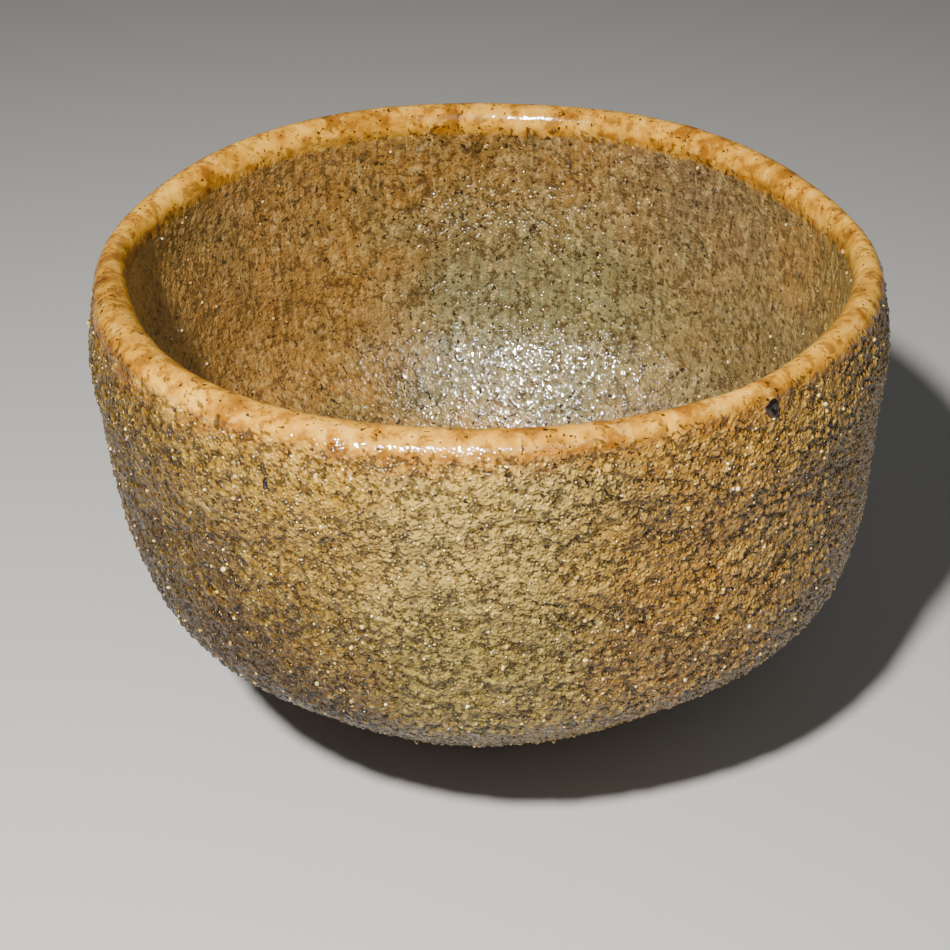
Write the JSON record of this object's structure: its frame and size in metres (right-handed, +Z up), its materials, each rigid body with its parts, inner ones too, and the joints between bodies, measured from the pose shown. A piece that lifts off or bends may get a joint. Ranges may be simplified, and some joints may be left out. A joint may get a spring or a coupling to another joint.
{
  "type": "matcha bowl",
  "caption": "Hand-formed stoneware tea bowl with an open round mouth, a rounded lip, a glazed wall and a low recessed foot, for whisking and drinking powdered tea.",
  "frame": {"origin": "on the table, under the middle of the foot", "axes": "+Z up through the mouth, -Y towards the viewer (the bowl's front), +X to the viewer's right"},
  "size_m": [0.1238, 0.1229, 0.0857],
  "materials": {
    "bare_clay": "matt, sandy",
    "foot_clay": "matt, smooth",
    "outer_glaze": "rough, glossy, sandy",
    "lip_glaze": "smooth, glossy",
    "inner_glaze": "speckled, glossy",
    "pool_glaze": "glassy",
    "iron_spot": "glossy",
    "grit": "glassy"
  },
  "bodies": {
    "root": {"clay_body": "bare_clay", "foot_ring": "foot_clay", "outer_glaze": "outer_glaze", "lip_glaze": "lip_glaze", "inner_glaze": "inner_glaze", "well_pool": "pool_glaze", "iron_spots": "iron_spot", "grit_grains": "grit"}
  },
  "joints": []
}
